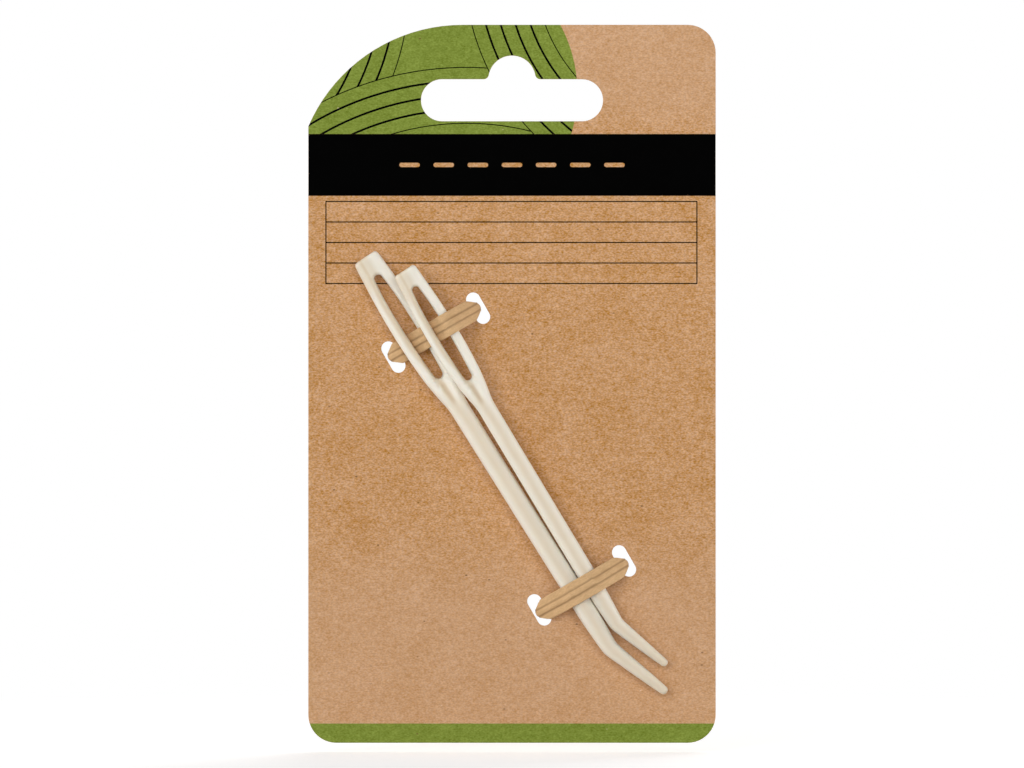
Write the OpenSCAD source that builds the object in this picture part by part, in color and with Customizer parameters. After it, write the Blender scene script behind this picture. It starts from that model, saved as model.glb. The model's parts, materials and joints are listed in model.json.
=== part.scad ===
// Pair of bent-tip yarn needles laced to a kraft hang card by two paper twist ties.
// The card hangs upright: X runs to its right, Y runs into it and Z runs up.
// The origin is the crown of the hang slot, in the middle of the board's thickness.
// Every piece is drawn flat, with the card's face at height 0 and the needles above it,
// and on_card() then stands it up.

/* [Card] */
// Width of the card
card_w = 71.6; // [68:0.2:90]
// Height of the card
card_h = 126.2; // [122:0.2:150]
// Thickness of the board
card_t = 0.6; // [0.4:0.1:1]
// Radius of the three small corners
corner_r = 4.9; // [2:0.1:7]
// Radius of the large swept corner, top left
sweep_r = 29.5; // [28.5:0.1:32]
// Distance from the left edge to the middle of the swept corner
sweep_inset = 27.1; // [25:0.1:28]

/* [Hang slot] */
// Width of the hang slot
hang_w = 32; // [28:0.5:34]
// Height of its straight part
hang_h = 7.4; // [6:0.1:8]
// Radius of the dome in the middle of its top edge
dome_r = 4.15; // [3.5:0.05:4.5]
// Radius of the blend where the dome meets the straight part
dome_blend_r = 0.9; // [0.5:0.1:1.2]
// Board left above the dome
hang_margin = 5.4; // [4.5:0.1:8]

/* [Tie slots] */
// Length of a tie slot
tie_slot_l = 6; // [5.5:0.1:7]
// Width of a tie slot
tie_slot_w = 2.5; // [2.4:0.1:3]
// Distance between the two slots of one tie
tie_slot_pitch = 17.2; // [17:0.1:20]
// Angle of the ties above the horizontal
tie_angle = 30; // [25:1:35]
// Distance between the upper and the lower tie
tie_spacing = 51.3; // [49:0.1:54]
// Middle of the upper tie, to the right of the card's middle
upper_tie_x = -13.4; // [-16:0.1:-10]
// Middle of the upper tie, above the hang slot's crown
upper_tie_z = -48.7; // [-52:0.1:-46]

/* [Needle, large size] */
// Straight length, from the head end to the bend
straight_l = 81; // [80:0.1:82]
// Length of the tip beyond the bend
tip_l = 12.7; // [11:0.1:14]
// Angle of the bend
bend_angle = 20; // [15:0.1:23]
// Radius of the bend, on the middle line
bend_r = 5; // [4:0.5:7]
// Diameter of the round shaft
shaft_d = 3.54; // [3.3:0.02:3.6]
// Diameter just before the blunt end
tip_d = 1.6; // [1.3:0.02:2]
// Length over which the shaft starts to taper before the bend
taper_lead = 5.5; // [4:0.1:7]
// Size of the small needle against the large one
small_size = 0.895; // [0.88:0.005:0.92]

/* [Eye, large size] */
// Width of the head end
head_w = 4.66; // [4.4:0.02:5]
// Greatest width across the eye
eye_outer_w = 6.3; // [6:0.05:6.5]
// Greatest width of the opening
eye_gap = 2.3; // [2.2:0.05:2.4]
// Distance from the head end to the widest place
eye_wide_at = 14.5; // [14:0.1:15.5]
// Thickness of the needle at its eye
eye_t = 1.8; // [1.6:0.05:2]
// Distance from the head end to the opening
eye_start = 3.8; // [3.4:0.1:4.2]
// Length of the opening
eye_l = 21.2; // [20.5:0.1:22]
// Radius of the opening's end at the head
eye_head_r = 0.68; // [0.55:0.01:0.9]
// Radius of the opening's end at the shaft
eye_neck_r = 0.78; // [0.6:0.05:1]
// Radius of the rounded lips of the opening
lip_r = 0.56; // [0.4:0.02:0.8]
// Rounding of the outer edges at the eye
rim_r = 0.9; // [0.7:0.05:1]
// Slant of the cut head end
head_slant = 2; // [0:1:8]
// Distance from the head end to where the shaft is round
neck_at = 30.4; // [29.5:0.1:32]
// Depth of the thumb hollow below the opening
hollow_d = 0.56; // [0.3:0.02:0.6]

/* [Paper tie] */
// Width of the tie
tie_w = 4; // [3.6:0.1:4.2]
// Thickness of its two paper wings
wing_t = 0.22; // [0.16:0.02:0.3]
// Diameter of the wire in its middle
wire_d = 0.42; // [0.36:0.02:0.5]
// Paper over the wire
wrap_t = 0.09; // [0.07:0.01:0.12]
// Width of the tie where it is pinched through a slot
pinch_w = 1.5; // [1.4:0.1:2]
// Bend radius where the tie turns round the board
turn_r = 0.95; // [0.9:0.05:1.1]
// Quarter turns of the twist behind the card
twist_quarters = 6; // [4:1:8]
// Length of one whole turn of the twist
twist_pitch = 6.6; // [6:0.1:9]
// Length of the free ends past the twist
tail_l = 3; // [2:0.1:5]

/* [Layout] */
// How far the upper tie lies above the middle of its slots
upper_tie_rise = 0.2; // [0:0.1:0.6]
// How far the lower tie lies below the middle of its slots
lower_tie_drop = 0.45; // [0:0.05:0.8]
// Large needle's place at the upper tie, from the tie's middle
large_at_upper = -3.5; // [-3.7:0.01:-3.45]
// Large needle's place at the lower tie
large_at_lower = -1.66; // [-1.9:0.01:-1.65]
// Small needle's place at the upper tie
small_at_upper = 0.88; // [0.8:0.01:0.95]
// Small needle's place at the lower tie
small_at_lower = 1.76; // [1.74:0.01:1.9]
// Large needle's head, beyond the upper tie
large_head_out = 17.7; // [16.5:0.1:18]
// Small needle's head, beyond the upper tie
small_head_out = 12.2; // [11:0.1:13]
// Gap that keeps a needle free of the ties
slide_gap = 0.2; // [0.16:0.01:0.26]
// Gap between a tie and the board
board_gap = 0.05; // [0.03:0.01:0.1]
// Gap between the board and the small needle's shaft at the lower tie
small_lift = 1.15; // [1:0.05:1.3]
// Gap between the two ends of a tie where they are twisted together
strand_gap = 0.16; // [0.1:0.02:0.3]
// Bend radius of the twisted ends where they fold down behind the card
fold_r = 2.2; // [2:0.1:3]
// Angle of that fold
fold_angle = 100; // [90:1:110]

/* [Hidden] */

CREAM = "#E6DEC8";
KRAFT = "#C59A6E";
TIE_KRAFT = "#C8A275";
STEEL = "#9A9A98";

// Smoothness of a needle: columns across half of it, rows along the opening, the neck and the bend,
// and the angles between the rows that round the opening's ends and the needle's own ends
COLUMNS = 7;
EYE_SIDE_STEPS = 6;
NECK_STEPS = 6;
BEND_STEPS = 4;
EYE_END_STEP = 22.5;
END_STEP = 30;
// Smoothness of a tie: angle between two rings round a bend and along the twist
ARC_STEP = 16;
TWIST_STEP = 30;
// Points in the paper's outline, and in the channel's and the wire's
OUTLINE = 12;
HEX = 6;
// Corner radius of the head end, and how far its edge is rounded over
head_corner_r = 0.6;
head_edge_r = 0.5;
// How fast the eye narrows into the shaft, and how full the opening is on either side of its middle
NECK_POWER = 2.8;
HEAD_FULLNESS = 0.5;
NECK_FULLNESS = 0.92;
// Width over which the neck blends into the shaft
NECK_BLEND = 0.35;
// The needle starts to grow round before the opening ends, and is fully round past the neck
ROUND_LEAD = 3;
ROUND_PAST = 2;
// How far before the opening's end its outer rounding starts to widen
RIM_LEAD = 1;
// Width of the very tip as a share of the blunt end
TIP_SHARE = 0.25;
// Hollow below the opening: half widths at its start and its end, length, and width of its walls
HOLLOW_WIDE = 1.4;
HOLLOW_NARROW = 0.5;
HOLLOW_L = 5.2;
HOLLOW_WALL = 0.6;
// Sunken web at the head end: depth, half width, where it starts and how fast it sinks and rises
WEB_D = 0.14;
WEB_HALF = 1.7;
WEB_FROM = 0.8;
WEB_RUN = 1.2;
// Distances of the two rows next to each end of the opening
ROW_NEAR = 0.25;
ROW_FAR = 0.7;
// Length over which the columns close up beyond the opening, and over which the head's slant fades
CLOSE_L = 1.6;
SLANT_L = 3;
// Clearance of the wire in its paper
wire_gap = 0.03;
// Extra height that keeps the two needles' crossing rails apart
weave_slack = 0.03;
// How far the middle of a tie's turn lies inside its slot, and how far both turns lie to the left
turn_in = 0.7;
turn_shift = 0.2;
// Where a tie starts to narrow before its turn
gable_lead = 0.6;
// Bend radius of the legs where they leave the card's back
leg_r = 0.9;
// Half width of the raised rib over the wire, at its top and at its foot
rib_top = 0.34;
rib_foot = 0.6;
// How fast the two free ends spread apart
SPLAY = 0.12;
ARC = $preview ? 48 : 72;

// Derived sizes
tie_t = wire_d + 2 * (wire_gap + wrap_t);
top_z = hang_margin;
bottom_z = hang_margin - card_h;
upper_tie = [upper_tie_x, upper_tie_z];
slot_at = tie_slot_pitch / 2;
turn_at = slot_at - tie_slot_w / 2 + turn_in;
strand_off = (tie_t + strand_gap) / 2;

// Plain maths
function lerp(a, b, t) = a + (b - a) * t;
function clamp01(t) = min(1, max(0, t));
function smooth(t) = let (c = clamp01(t)) c * c * (3 - 2 * c);
// The larger of a and b, blended over a width k
function soft_max(a, b, k) = let (h = max(k - abs(a - b), 0) / k) max(a, b) + h * h * k / 4;
// Height of a rounded edge: 0 at the edge, and 1 from one radius inwards
function rounded(d) = let (c = clamp01(d)) sqrt(c * (2 - c));
function reversed(list) = [for (i = [len(list) - 1:-1:0]) list[i]];
function range_of(a, b, n) = [for (i = [1:n]) lerp(a, b, i / n)];

// Needle: sizes along its middle line, measured from the head end at full size
eye_end = eye_start + eye_l;
bend_cut = bend_r * tan(bend_angle / 2);
bend_from = straight_l - bend_cut;
bend_arc = bend_r * bend_angle * PI / 180;
needle_l = bend_from + bend_arc + tip_l - bend_cut;
taper_from = bend_from - taper_lead;
tip_r = tip_d / 2;
round_from = eye_end - ROUND_LEAD;

// Half the width of the needle across its face
function body_half(s) =
    let (x = max(0, s - eye_wide_at) / (neck_at - eye_wide_at),
         widening = head_w + (eye_outer_w - head_w) * sin(90 * min(1, s / eye_wide_at)),
         narrowing = eye_outer_w - (eye_outer_w - shaft_d) * pow(x, NECK_POWER),
         eye = s < eye_wide_at ? widening : narrowing,
         shaft = shaft_d - (shaft_d - tip_d) * clamp01((s - taper_from) / (needle_l - taper_from)))
    (s < neck_at + ROUND_PAST ? soft_max(eye, shaft, NECK_BLEND) : shaft) / 2;

// The head's corners and the blunt tip are rounded in plan
function head_round(s) =
    s < head_corner_r ? head_corner_r * (1 - rounded(s / head_corner_r)) : 0;
function tip_round(s) = rounded((needle_l - s) / tip_r);
function half_width(s) =
    (body_half(s) - head_round(s)) * (s > needle_l - tip_r ? max(TIP_SHARE, tip_round(s)) : 1);

// Half the thickness of the needle, flat at the eye and round along the shaft
function half_thick(s) =
    lerp(eye_t / 2, body_half(s), smooth((s - round_from) / (neck_at + ROUND_PAST - round_from)))
    * rounded(s / head_edge_r) * (s > needle_l - tip_r ? tip_round(s) : 1);

// Half the width of the opening
function eye_half(s) =
    let (from_head = s - eye_start, from_neck = eye_end - s,
         t = clamp01((from_head - eye_head_r) / (eye_l - eye_head_r - eye_neck_r)),
         end_r = lerp(eye_head_r, eye_neck_r, t))
    from_head <= 0 || from_neck <= 0 ? 0
    : from_head < eye_head_r ? eye_head_r * rounded(from_head / eye_head_r)
    : from_neck < eye_neck_r ? eye_neck_r * rounded(from_neck / eye_neck_r)
    : lerp(end_r, eye_gap / 2, pow(sin(180 * t), t < 0.5 ? HEAD_FULLNESS : NECK_FULLNESS));

// Distance of a point from the edge of the opening
function from_eye(s, u) =
    s < eye_start + eye_head_r ? norm([u, s - eye_start - eye_head_r]) - eye_head_r
    : s > eye_end - eye_neck_r ? norm([u, s - eye_end + eye_neck_r]) - eye_neck_r
    : abs(u) - eye_half(s);

// Depth of the hollow below the opening and of the sunken web at the head
function hollow(s, u) =
    let (t = (s - eye_end) / HOLLOW_L,
         half = lerp(HOLLOW_WIDE, HOLLOW_NARROW, clamp01(t)),
         along = t < 0 ? smooth(1 + 2 * t) : 1 - smooth(3 * t - 2),
         across = smooth((half - abs(u)) / HOLLOW_WALL),
         web = smooth((s - WEB_FROM) / WEB_RUN) * (1 - smooth((s - eye_start) / (2 * WEB_RUN))),
         web_across = pow(max(0, 1 - pow(u / WEB_HALF, 2)), 2))
    hollow_d * along * across + WEB_D * web * web_across;

// Height of the needle's face above its middle plane
function face_height(s, u) =
    let (a = half_width(s),
         rim = lerp(rim_r, a, smooth((s - eye_end + RIM_LEAD) / (neck_at - eye_end))),
         edge = rounded((a - abs(u)) / min(rim, a)),
         lip = rounded(from_eye(s, u) / lip_r))
    max(0, half_thick(s) * edge * lip - hollow(s, u) * min(edge, lip));

// The middle line runs straight, turns through the bend and runs straight to the tip
function line_angle(s) = bend_angle * clamp01((s - bend_from) / bend_arc);
function line_point(s) =
    let (a = line_angle(s), past = max(0, s - bend_from - bend_arc))
    s <= bend_from ? [s, 0]
    : [bend_from + bend_r * sin(a) + past * cos(a), bend_r * (1 - cos(a)) + past * sin(a)];

// Rows along the needle, close together where its shape changes
eye_end_rows = [for (a = [EYE_END_STEP:EYE_END_STEP:90]) 1 - cos(a)];
rows_before_eye = concat([for (a = [0:END_STEP:90]) head_corner_r * (1 - cos(a))],
                         range_of(head_corner_r, eye_start - ROW_FAR, 4),
                         [eye_start - ROW_NEAR, eye_start]);
rows_in_eye = concat([for (c = eye_end_rows) eye_start + eye_head_r * c],
                     range_of(eye_start + eye_head_r, eye_end - eye_neck_r, EYE_SIDE_STEPS),
                     [for (i = [len(eye_end_rows) - 2:-1:0]) eye_end - eye_neck_r * eye_end_rows[i]]);
rows_after_eye = concat([eye_end, eye_end + ROW_NEAR, eye_end + ROW_FAR],
                        range_of(eye_end + ROW_FAR, neck_at + ROUND_PAST, NECK_STEPS),
                        [taper_from, bend_from],
                        range_of(bend_from, bend_from + bend_arc, BEND_STEPS),
                        [for (a = [0:END_STEP:90]) needle_l - tip_r * (1 - sin(a))]);
rows = concat(rows_before_eye, rows_in_eye, rows_after_eye);
FIRST = len(rows_before_eye) - 1;
LAST = FIRST + len(rows_in_eye) + 1;
PER_ROW = 2 * (COLUMNS + 1);

// Columns run from the left rim to the opening and on to the right rim
function column_side(c) = c <= COLUMNS ? -1 : 1;
function column_step(c) = c <= COLUMNS ? c : PER_ROW - 1 - c;
function column_u(s, c) =
    let (t = column_step(c) / COLUMNS, e = eye_half(s),
         off = max(0, eye_start - s, s - eye_end),
         split = smooth(1 - off / CLOSE_L))
    column_side(c) * (e + (half_width(s) - e) * lerp(cos(90 * t), (1 + cos(180 * t)) / 2, split));

// A point on the face (up = 1) or on the back (up = -1)
function skin_point(s, u, up) =
    let (slant = -u * tan(head_slant) * (1 - smooth(s / SLANT_L)),
         p = line_point(s), a = line_angle(s),
         closed = (s <= 0 || s >= needle_l) ? 0 : 1)
    [p[0] + slant - u * sin(a), p[1] + u * cos(a), up * closed * face_height(s, u)];

// Faces meet along the rims, the two ends and the opening, where they share their points
function on_rim(i, c) = c == 0 || c == PER_ROW - 1 || i == 0 || i == len(rows) - 1;
function on_eye(i, c) = i >= FIRST && i <= LAST && (c == COLUMNS || c == COLUMNS + 1);
function shared_column(i, c) = c == COLUMNS + 1 && (i <= FIRST || i >= LAST) ? COLUMNS : c;
function skin_index(i, c, up) =
    let (k = i * PER_ROW + shared_column(i, c))
    up > 0 || on_rim(i, c) || on_eye(i, c) ? k : k + len(rows) * PER_ROW;
// The diagonals mirror each other, and none joins two points that the face and the back share
function skin_quad(i, c, up) =
    let (a = skin_index(i, c, up), b = skin_index(i, c + 1, up),
         d = skin_index(i + 1, c, up), e = skin_index(i + 1, c + 1, up),
         from_b = on_rim(i, c) && on_rim(i + 1, c + 1)
                  || c < COLUMNS && !(on_rim(i, c + 1) && on_rim(i + 1, c)),
         pair = from_b ? [[a, b, d], [b, e, d]] : [[a, b, e], [a, e, d]])
    up > 0 ? pair : [for (f = pair) reversed(f)];

needle_points = [for (up = [1, -1]) for (s = rows) for (c = [0:PER_ROW - 1])
    skin_point(s, column_u(s, c), up)];
needle_faces = [for (up = [1, -1]) for (i = [0:len(rows) - 2])
    for (c = [0:PER_ROW - 2]) if (c != COLUMNS)
        for (f = skin_quad(i, c, up)) f];

// Where the rails of the eye lie at a station, from the needle's middle line
function rail_middle(s) = (body_half(s) + eye_half(s)) / 2;
function rail_half(s) = max((body_half(s) - eye_half(s)) / 2, eye_t / 2);

// Weave of the upper tie, in its own upright plane: along the tie, and height above the board
large_rail = rail_half(large_head_out);
small_rail = small_size * rail_half(small_head_out / small_size);
large_reach = rail_middle(large_head_out);
small_reach = small_size * rail_middle(small_head_out / small_size);
large_h = board_gap + tie_t + slide_gap + large_rail;
large_pull = large_rail + slide_gap + tie_t / 2;
small_pull = small_rail + slide_gap + tie_t / 2;
rails_across = (small_at_upper - small_reach) - (large_at_upper + large_reach);
small_h = large_h + weave_slack + sqrt(pow(large_pull + small_pull, 2) - pow(rails_across, 2));
small_h_lower = small_lift + small_size * shaft_d / 2;
small_pitch = atan((small_h - small_h_lower) / norm([tie_spacing, small_at_lower - small_at_upper]));

// An arc is [along, height, radius], with a positive radius where the tie passes over it
left_turn = [-turn_at - turn_shift, -card_t / 2, turn_r];
right_turn = [turn_at - turn_shift, -card_t / 2, turn_r];
leg_h = -card_t / 2 - turn_r;
base_h = leg_h - leg_r;
left_leg = [-strand_off - leg_r, base_h, -leg_r];
right_leg = [strand_off + leg_r, base_h, -leg_r];
upper_arcs = [[large_at_upper - large_reach, large_h, -large_pull],
              [large_at_upper + large_reach, large_h, large_pull],
              [small_at_upper - small_reach, small_h, -small_pull],
              [small_at_upper + small_reach, small_h, small_pull]];
lower_arcs = [[large_at_lower, large_h, shaft_d / 2 + slide_gap + tie_t / 2],
              [small_at_lower, small_h_lower, small_size * shaft_d / 2 + slide_gap + tie_t / 2]];

// Slope of the straight run between two arcs
function run_angle(p, q) =
    let (d = norm([q[0] - p[0], q[1] - p[1]]))
    atan2(q[1] - p[1], q[0] - p[0]) - asin(max(-1, min(1, (p[2] - q[2]) / d)));

// A ring is [middle, across the tie, out of its face, width]
function arc_ring(arc, a, w) =
    [[arc[0] - arc[2] * sin(a), 0, arc[1] + arc[2] * cos(a)], [0, 1, 0], [-sin(a), 0, cos(a)], w];
function arc_rings(arc, from, to, w) =
    let (n = max(2, ceil(abs(to - from) / ARC_STEP)))
    [for (i = [0:n]) arc_ring(arc, lerp(from, to, i / n), w)];
// Towards a slot the tie narrows evenly, so that it ends in a gable as seen from the front
function turn_w(reach) =
    lerp(tie_w, pinch_w, clamp01((gable_lead + reach) / (gable_lead + turn_r)));
function turn_rings(arc, from, to, side) =
    let (n = ceil(abs(to - from) / ARC_STEP))
    [for (i = [0:n])
        let (a = lerp(from, to, i / n))
        arc_ring(arc, a, abs(a) > 90 ? pinch_w : turn_w(side * turn_r * sin(a)))];
function lead_ring(arc, a, side) =
    let (ring = arc_ring(arc, a, tie_w),
         back = (gable_lead + side * turn_r * sin(a)) / cos(a))
    [ring[0] + side * back * [cos(a), 0, sin(a)], ring[1], ring[2], tie_w];
function front_rings(arcs) =
    let (all = concat([left_turn], arcs, [right_turn]), n = len(all),
         runs = [for (i = [0:n - 2]) run_angle(all[i], all[i + 1])],
         down = runs[n - 2])
    concat(arc_rings(left_leg, 90, 180, pinch_w),
           turn_rings(left_turn, 180, runs[0], 1),
           [lead_ring(left_turn, runs[0], 1)],
           [for (i = [1:n - 2]) for (r = arc_rings(all[i], runs[i - 1], runs[i], tie_w)) r],
           [lead_ring(right_turn, down, -1)],
           turn_rings(right_turn, down, -180, -1),
           arc_rings(right_leg, -180, -90, pinch_w));

// The two ends are twisted about one line, which folds down behind the card
fold_l = fold_r * fold_angle * PI / 180;
twist_l = twist_quarters * twist_pitch / 4;
function fold_at(d) = fold_angle * clamp01(d / fold_l);
function twist_line(d) =
    let (a = fold_at(d), past = max(0, d - fold_l))
    [0, -fold_r * (1 - cos(a)) - past * sin(a), base_h - fold_r * sin(a) - past * cos(a)];
function strand_ring(d, side) =
    let (a = fold_at(d), turn = 90 * twist_quarters * min(1, d / twist_l),
         splay = max(0, d - twist_l) * SPLAY,
         down = [0, -cos(a), sin(a)],
         out = [cos(turn), 0, 0] + sin(turn) * down,
         flat = [-sin(turn), 0, 0] + cos(turn) * down)
    [twist_line(d) + side * (strand_off + splay) * out, -flat, side * out, pinch_w];
function strand(side) =
    [for (d = concat(range_of(0, twist_l, 90 * twist_quarters / TWIST_STEP),
                     range_of(twist_l, twist_l + tail_l, 2)))
        strand_ring(d, side)];
function tie_rings(arcs) = concat(reversed(strand(-1)), front_rings(arcs), strand(1));

// Sweeps: an outline is a list of points across and out of the tie's face
function placed(ring, outline) = [for (p = outline) ring[0] + ring[1] * p[0] + ring[2] * p[1]];
function paper_outline(w) =
    let (wing = wing_t / 2, rib = tie_t / 2)
    [[-w / 2, -wing], [-rib_foot, -wing], [-rib_top, -rib],
     [rib_top, -rib], [rib_foot, -wing], [w / 2, -wing],
     [w / 2, wing], [rib_foot, wing], [rib_top, rib],
     [-rib_top, rib], [-rib_foot, wing], [-w / 2, wing]];
function hexagon(r) = [for (i = [0:HEX - 1]) let (a = 180 + i * 360 / HEX) r * [cos(a), sin(a)]];
function wall_faces(rings, first, size, per_ring, outward) =
    [for (i = [0:rings - 2]) for (j = [0:size - 1])
        let (k = i * per_ring + first, n = (j + 1) % size,
             a = k + j, b = k + n, c = a + per_ring, d = b + per_ring)
        for (f = outward ? [[a, c, d], [a, d, b]] : [[a, d, c], [a, b, d]]) f];

// The point of the channel that each point of the paper's outline looks at
LOOKS_AT = [0, 0, 1, 2, 3, 3, 3, 3, 4, 5, 0, 0];
function end_faces(k, first) =
    [for (j = [0:OUTLINE - 1])
        let (n = (j + 1) % OUTLINE, p = k + OUTLINE + LOOKS_AT[j], q = k + OUTLINE + LOOKS_AT[n])
        for (f = [[k + j, k + n, q], [k + j, q, p]])
            if (f[1] != f[2]) first ? f : [f[2], f[1], f[0]]];

module needle() {
    polyhedron(needle_points, needle_faces, convexity = 6);
}

// Places a needle by its two crossings of the ties
module laid_needle(at_upper, at_lower, head_out, height, pitch) {
    translate([at_upper, 0, height])
        rotate([0, 0, atan2(-tie_spacing, at_lower - at_upper)])
            rotate([0, pitch, 0])
                translate([-head_out, 0, 0])
                    children();
}

// Turns the ties' own frame into the card's, and stands the card up
module on_card() {
    translate([0, -card_t / 2, 0])
        rotate([90, 0, 0])
            children();
}
module along_ties() {
    on_card()
        translate(upper_tie)
            rotate([0, 0, tie_angle])
                children();
}
module at_upper_tie() {
    along_ties()
        translate([0, upper_tie_rise, 0])
            children();
}
module at_lower_tie() {
    along_ties()
        translate([0, -tie_spacing - lower_tie_drop, 0])
            children();
}

module tie_paper(arcs) {
    rings = tie_rings(arcs);
    channel = hexagon(wire_d / 2 + wire_gap);
    points = [for (r = rings) for (p = placed(r, concat(paper_outline(r[3]), channel))) p];
    n = len(rings);
    per_ring = OUTLINE + HEX;
    faces = concat(wall_faces(n, 0, OUTLINE, per_ring, true),
                   wall_faces(n, OUTLINE, HEX, per_ring, false),
                   end_faces(0, true), end_faces((n - 1) * per_ring, false));
    color(TIE_KRAFT) polyhedron(points, faces, convexity = 8);
}
module tie_wire(arcs) {
    rings = tie_rings(arcs);
    points = [for (r = rings) for (p = placed(r, hexagon(wire_d / 2))) p];
    n = len(rings);
    ends = [[for (j = [0:HEX - 1]) j], [for (j = [HEX - 1:-1:0]) (n - 1) * HEX + j]];
    faces = concat(wall_faces(n, 0, HEX, HEX, true), ends);
    color(STEEL) polyhedron(points, faces, convexity = 8);
}

module stadium(l, w) {
    square([w, l - w], center = true);
    for (side = [-1, 1])
        translate([0, side * (l - w) / 2])
            circle(d = w, $fn = ARC);
}
module rounded_rectangle(w, h, r) {
    square([w - 2 * r, h], center = true);
    square([w, h - 2 * r], center = true);
    for (x = [-1, 1])
        for (y = [-1, 1])
            translate([x * (w / 2 - r), y * (h / 2 - r)])
                circle(r, $fn = ARC);
}
module card_outline() {
    sweep_at = [sweep_inset - card_w / 2, top_z - sweep_r];
    intersection() {
        translate([0, (top_z + bottom_z) / 2])
            rounded_rectangle(card_w, card_h, corner_r);
        union() {
            translate(sweep_at)
                circle(sweep_r, $fn = 2 * ARC);
            translate([sweep_at[0], bottom_z])
                square([card_w / 2 - sweep_at[0], card_h]);
            translate([-card_w / 2, bottom_z])
                square([card_w, sweep_at[1] - bottom_z]);
        }
    }
}
// A wide slot with a half-round crown, blended at its two feet
module hang_slot() {
    foot = sqrt(pow(dome_r + dome_blend_r, 2) - pow(dome_blend_r, 2));
    translate([0, -dome_r]) {
        translate([0, -hang_h / 2])
            rotate(90)
                stadium(hang_w, hang_h);
        circle(dome_r, $fn = ARC);
        for (side = [-1, 1])
            difference() {
                polygon([[0, -dome_blend_r], [side * foot, -dome_blend_r],
                         [side * foot, dome_blend_r], [0, 0]]);
                translate([side * foot, dome_blend_r])
                    circle(dome_blend_r, $fn = ARC);
            }
    }
}
module tie_slots() {
    for (side = [-1, 1])
        translate([side * slot_at, 0])
            stadium(tie_slot_l, tie_slot_w);
}

module card() {
    color(KRAFT) on_card()
        translate([0, 0, -card_t])
            linear_extrude(card_t)
                difference() {
                    card_outline();
                    hang_slot();
                    translate(upper_tie)
                        rotate(tie_angle) {
                            tie_slots();
                            translate([0, -tie_spacing])
                                tie_slots();
                        }
                }
}
module needle_large() {
    color(CREAM) along_ties()
        laid_needle(large_at_upper, large_at_lower, large_head_out, large_h, 0)
            needle();
}
module needle_small() {
    color(CREAM) along_ties()
        laid_needle(small_at_upper, small_at_lower, small_head_out, small_h, small_pitch)
            scale(small_size)
                needle();
}
module upper_tie_paper() {
    at_upper_tie() tie_paper(upper_arcs);
}
module upper_tie_wire() {
    at_upper_tie() tie_wire(upper_arcs);
}
module lower_tie_paper() {
    at_lower_tie() tie_paper(lower_arcs);
}
module lower_tie_wire() {
    at_lower_tie() tie_wire(lower_arcs);
}

card();
needle_large();
needle_small();
upper_tie_paper();
upper_tie_wire();
lower_tie_paper();
lower_tie_wire();
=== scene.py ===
"""Two bent-tip yarn needles, laced to a kraft hang card by two paper twist ties.

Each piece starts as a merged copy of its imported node, so it keeps the node's place and size. It
then gets finer edges, coordinates along its own surface and a procedural finish. Patterns are in
millimetres, and everything else is in metres.
"""

import json
import logging
import math
from collections.abc import Sequence
from dataclasses import dataclass
from enum import Enum

import bmesh
import bpy
from bmesh.types import BMesh, BMVert
from bpy.types import Material, Node, NodeSocket, NodeTree, Object
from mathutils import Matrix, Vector, noise


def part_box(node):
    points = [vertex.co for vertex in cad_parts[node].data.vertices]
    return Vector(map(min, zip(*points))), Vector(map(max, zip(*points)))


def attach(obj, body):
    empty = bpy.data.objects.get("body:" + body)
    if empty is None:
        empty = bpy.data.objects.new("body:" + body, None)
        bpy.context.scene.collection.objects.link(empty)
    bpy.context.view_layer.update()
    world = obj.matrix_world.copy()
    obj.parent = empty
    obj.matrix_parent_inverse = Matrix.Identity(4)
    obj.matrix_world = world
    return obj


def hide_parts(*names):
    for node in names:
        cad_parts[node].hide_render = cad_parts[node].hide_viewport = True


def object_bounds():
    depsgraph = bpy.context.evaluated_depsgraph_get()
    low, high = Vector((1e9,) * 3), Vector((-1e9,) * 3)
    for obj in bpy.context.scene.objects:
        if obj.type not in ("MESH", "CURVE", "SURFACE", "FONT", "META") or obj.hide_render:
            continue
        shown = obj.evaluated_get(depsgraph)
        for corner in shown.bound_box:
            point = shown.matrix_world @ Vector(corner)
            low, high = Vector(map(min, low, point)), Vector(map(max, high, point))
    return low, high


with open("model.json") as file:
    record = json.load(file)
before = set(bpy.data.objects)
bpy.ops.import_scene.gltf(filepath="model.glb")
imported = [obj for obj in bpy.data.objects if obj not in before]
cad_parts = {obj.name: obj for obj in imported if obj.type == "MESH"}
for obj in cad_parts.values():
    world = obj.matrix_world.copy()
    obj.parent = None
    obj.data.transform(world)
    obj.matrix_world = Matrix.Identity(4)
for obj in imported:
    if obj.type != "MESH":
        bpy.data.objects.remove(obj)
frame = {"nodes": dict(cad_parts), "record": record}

log = logging.getLogger("carded_needles")

CAD_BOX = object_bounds()
MM = 0.001
PER_MM = (1 / MM,) * 3
SURFACE = "surface_place"
WHITE = (1.0, 1.0, 1.0, 1.0)
WELD = 2e-6
QUAD_FOLD = math.radians(60)
ANY_SHAPE = math.radians(180)

Span = tuple[float, float]
Triple = tuple[float, float, float]
Colour = tuple[float, float, float, float]
Source = NodeSocket | float | Sequence[float]


def srgb(*levels: int) -> Colour:
    """Turns a display colour into the linear one that a shader takes.

    Args:
        *levels: Red, green and blue, from 0 to 255.

    Returns:
        The linear colour, opaque.
    """
    shares = [level / 255 for level in levels]
    linear = [share / 12.92 if share <= 0.04045 else ((share + 0.055) / 1.055) ** 2.4 for share in shares]
    return (*linear, 1.0)


@dataclass(frozen=True)
class Grain:
    """One layer of noise: how fine it is, its detail and its roughness."""

    scale: float
    detail: float = 2.0
    rough: float = 0.5


@dataclass(frozen=True)
class Drift:
    """A value that changes along a piece: its first value, then steps of from, to and change."""

    first: float
    steps: tuple[Triple, ...]


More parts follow.
